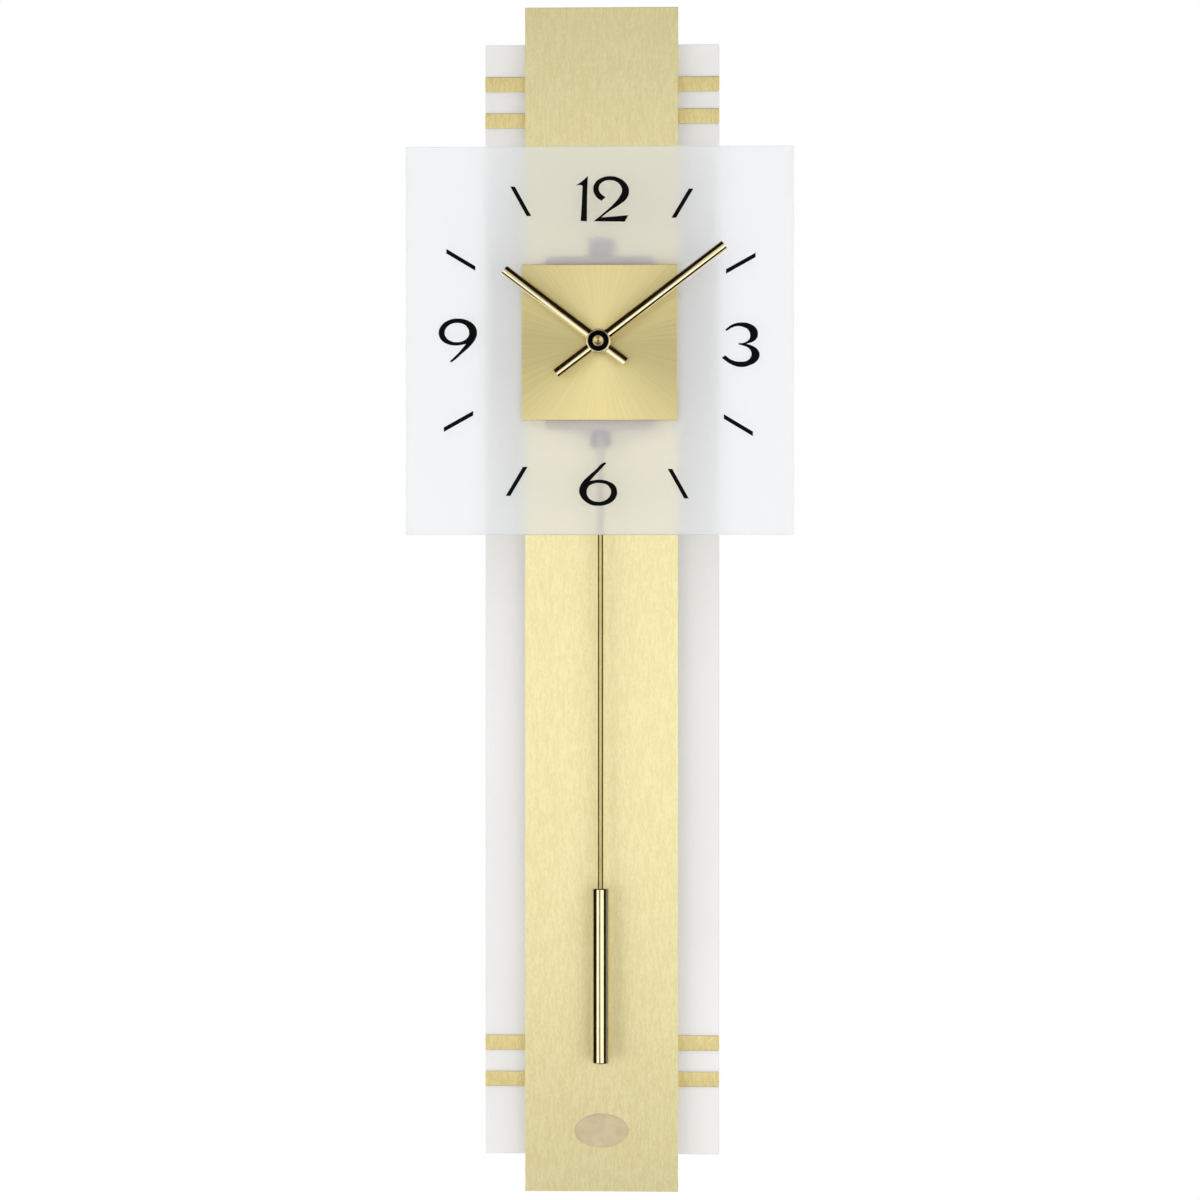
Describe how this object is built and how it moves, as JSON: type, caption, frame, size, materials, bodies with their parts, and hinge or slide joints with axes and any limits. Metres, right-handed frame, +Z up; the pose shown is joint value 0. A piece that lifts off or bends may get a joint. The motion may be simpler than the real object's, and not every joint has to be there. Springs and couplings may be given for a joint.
{
  "type": "pendulum wall clock",
  "caption": "Slim wall clock with a square frosted-glass dial, brass-toned sheet on a white panel, and a rod pendulum swinging below a quartz movement.",
  "frame": {"origin": "centre of the keyhole plate's round opening, on the rear face of the back panel", "axes": "+Z up along the panel, +Y into the wall, +X to the right seen from the front"},
  "size_m": [0.22, 0.0755, 0.68],
  "materials": {
    "white_lacquer": "satin white lacquer on board",
    "brushed_brass_tone": "brushed, brass-coloured anodised",
    "bright_brass_tone": "polished, brass-coloured",
    "polished_brass": "polished",
    "frosted_glass": "frosted white, printed hour marks",
    "black_plastic": "fine moulded texture",
    "natural_plastic": "moulded",
    "zinc_steel": "zinc plated",
    "black_rubber": "matt",
    "grey_felt": "felt",
    "copper_wire": "enamelled winding",
    "green_board": "solder mask",
    "battery_wrap": "plain printed sleeve",
    "magnet": "bare ferrite"
  },
  "bodies": {
    "clock_case": {"back_panel": "white_lacquer", "hanger_plate": "zinc_steel", "hanger_screws": "zinc_steel", "wall_bumpers": "grey_felt", "core_board": "white_lacquer", "panel_screws": "zinc_steel", "front_panel": "brushed_brass_tone", "strip_upper_left_top": "brushed_brass_tone", "strip_upper_left_base": "brushed_brass_tone", "strip_upper_right_top": "brushed_brass_tone", "strip_upper_right_base": "brushed_brass_tone", "strip_lower_left_top": "brushed_brass_tone", "strip_lower_left_base": "brushed_brass_tone", "strip_lower_right_top": "brushed_brass_tone", "strip_lower_right_base": "brushed_brass_tone", "oval_badge": "brushed_brass_tone", "dial_washer": "black_rubber", "dial_glass": "frosted_glass", "centre_plate": "brushed_brass_tone", "fixing_washer": "zinc_steel", "fixing_nut": "polished_brass", "movement_case": "black_plastic", "movement_cover": "black_plastic", "movement_screws": "zinc_steel", "case_screws": "zinc_steel", "train_plate": "natural_plastic", "train_screws": "zinc_steel", "battery": "battery_wrap", "positive_contact": "zinc_steel", "negative_contact": "zinc_steel", "circuit_board": "green_board", "quartz_crystal": "zinc_steel", "chip_cover": "black_plastic", "stator": "zinc_steel", "stepper_coil": "copper_wire", "pivot_pin": "zinc_steel", "drive_coil": "copper_wire"},
    "minute_train": {"centre_arbor": "zinc_steel", "centre_wheel": "natural_plastic", "minute_hand": "bright_brass_tone", "hand_cap": "polished_brass"},
    "hour_train": {"hour_wheel": "natural_plastic", "hour_hand": "bright_brass_tone"},
    "setting_train": {"minute_wheel": "natural_plastic", "setting_knob": "black_plastic"},
    "third_train": {"third_wheel": "natural_plastic"},
    "second_train": {"second_wheel": "natural_plastic"},
    "intermediate_train": {"intermediate_wheel": "natural_plastic"},
    "rotor_train": {"rotor": "natural_plastic"},
    "pendulum": {"pendulum_lever": "black_plastic", "pendulum_magnet": "magnet", "rod_pin": "zinc_steel", "pendulum_rod": "polished_brass", "pendulum_bob": "polished_brass"}
  },
  "joints": [
    {"name": "minute_hand_turn", "type": "hinge", "parent": "clock_case", "child": "minute_train", "pos_m": [0, -0.0465, -0.129], "axis": [0, 1, 0], "continuous": true},
    {"name": "hour_hand_turn", "type": "hinge", "parent": "clock_case", "child": "hour_train", "pos_m": [0, -0.0465, -0.129], "axis": [0, 1, 0], "continuous": true},
    {"name": "setting_knob_turn", "type": "hinge", "parent": "clock_case", "child": "setting_train", "pos_m": [0.012, -0.0465, -0.129], "axis": [0, 1, 0], "continuous": true},
    {"name": "third_wheel_turn", "type": "hinge", "parent": "clock_case", "child": "third_train", "pos_m": [-0.0108, -0.0465, -0.129], "axis": [0, 1, 0], "continuous": true},
    {"name": "second_wheel_turn", "type": "hinge", "parent": "clock_case", "child": "second_train", "pos_m": [-0.0108, -0.0465, -0.1188], "axis": [0, 1, 0], "continuous": true},
    {"name": "intermediate_wheel_turn", "type": "hinge", "parent": "clock_case", "child": "intermediate_train", "pos_m": [-0.00258, -0.0465, -0.11581], "axis": [0, 1, 0], "continuous": true},
    {"name": "rotor_turn", "type": "hinge", "parent": "clock_case", "child": "rotor_train", "pos_m": [0.00462, -0.0465, -0.11581], "axis": [0, 1, 0], "continuous": true},
    {"name": "pendulum_swing", "type": "hinge", "parent": "clock_case", "child": "pendulum", "pos_m": [0, -0.037, -0.153], "axis": [0, 1, 0], "range_deg": [-6, 6]}
  ],
  "couplings": [
    {"joint": "hour_hand_turn", "follows": "minute_hand_turn", "ratio": 0.083333},
    {"joint": "setting_knob_turn", "follows": "minute_hand_turn", "ratio": -0.25},
    {"joint": "third_wheel_turn", "follows": "minute_hand_turn", "ratio": -8},
    {"joint": "second_wheel_turn", "follows": "minute_hand_turn", "ratio": 60},
    {"joint": "intermediate_wheel_turn", "follows": "minute_hand_turn", "ratio": -360},
    {"joint": "rotor_turn", "follows": "minute_hand_turn", "ratio": 1800}
  ]
}
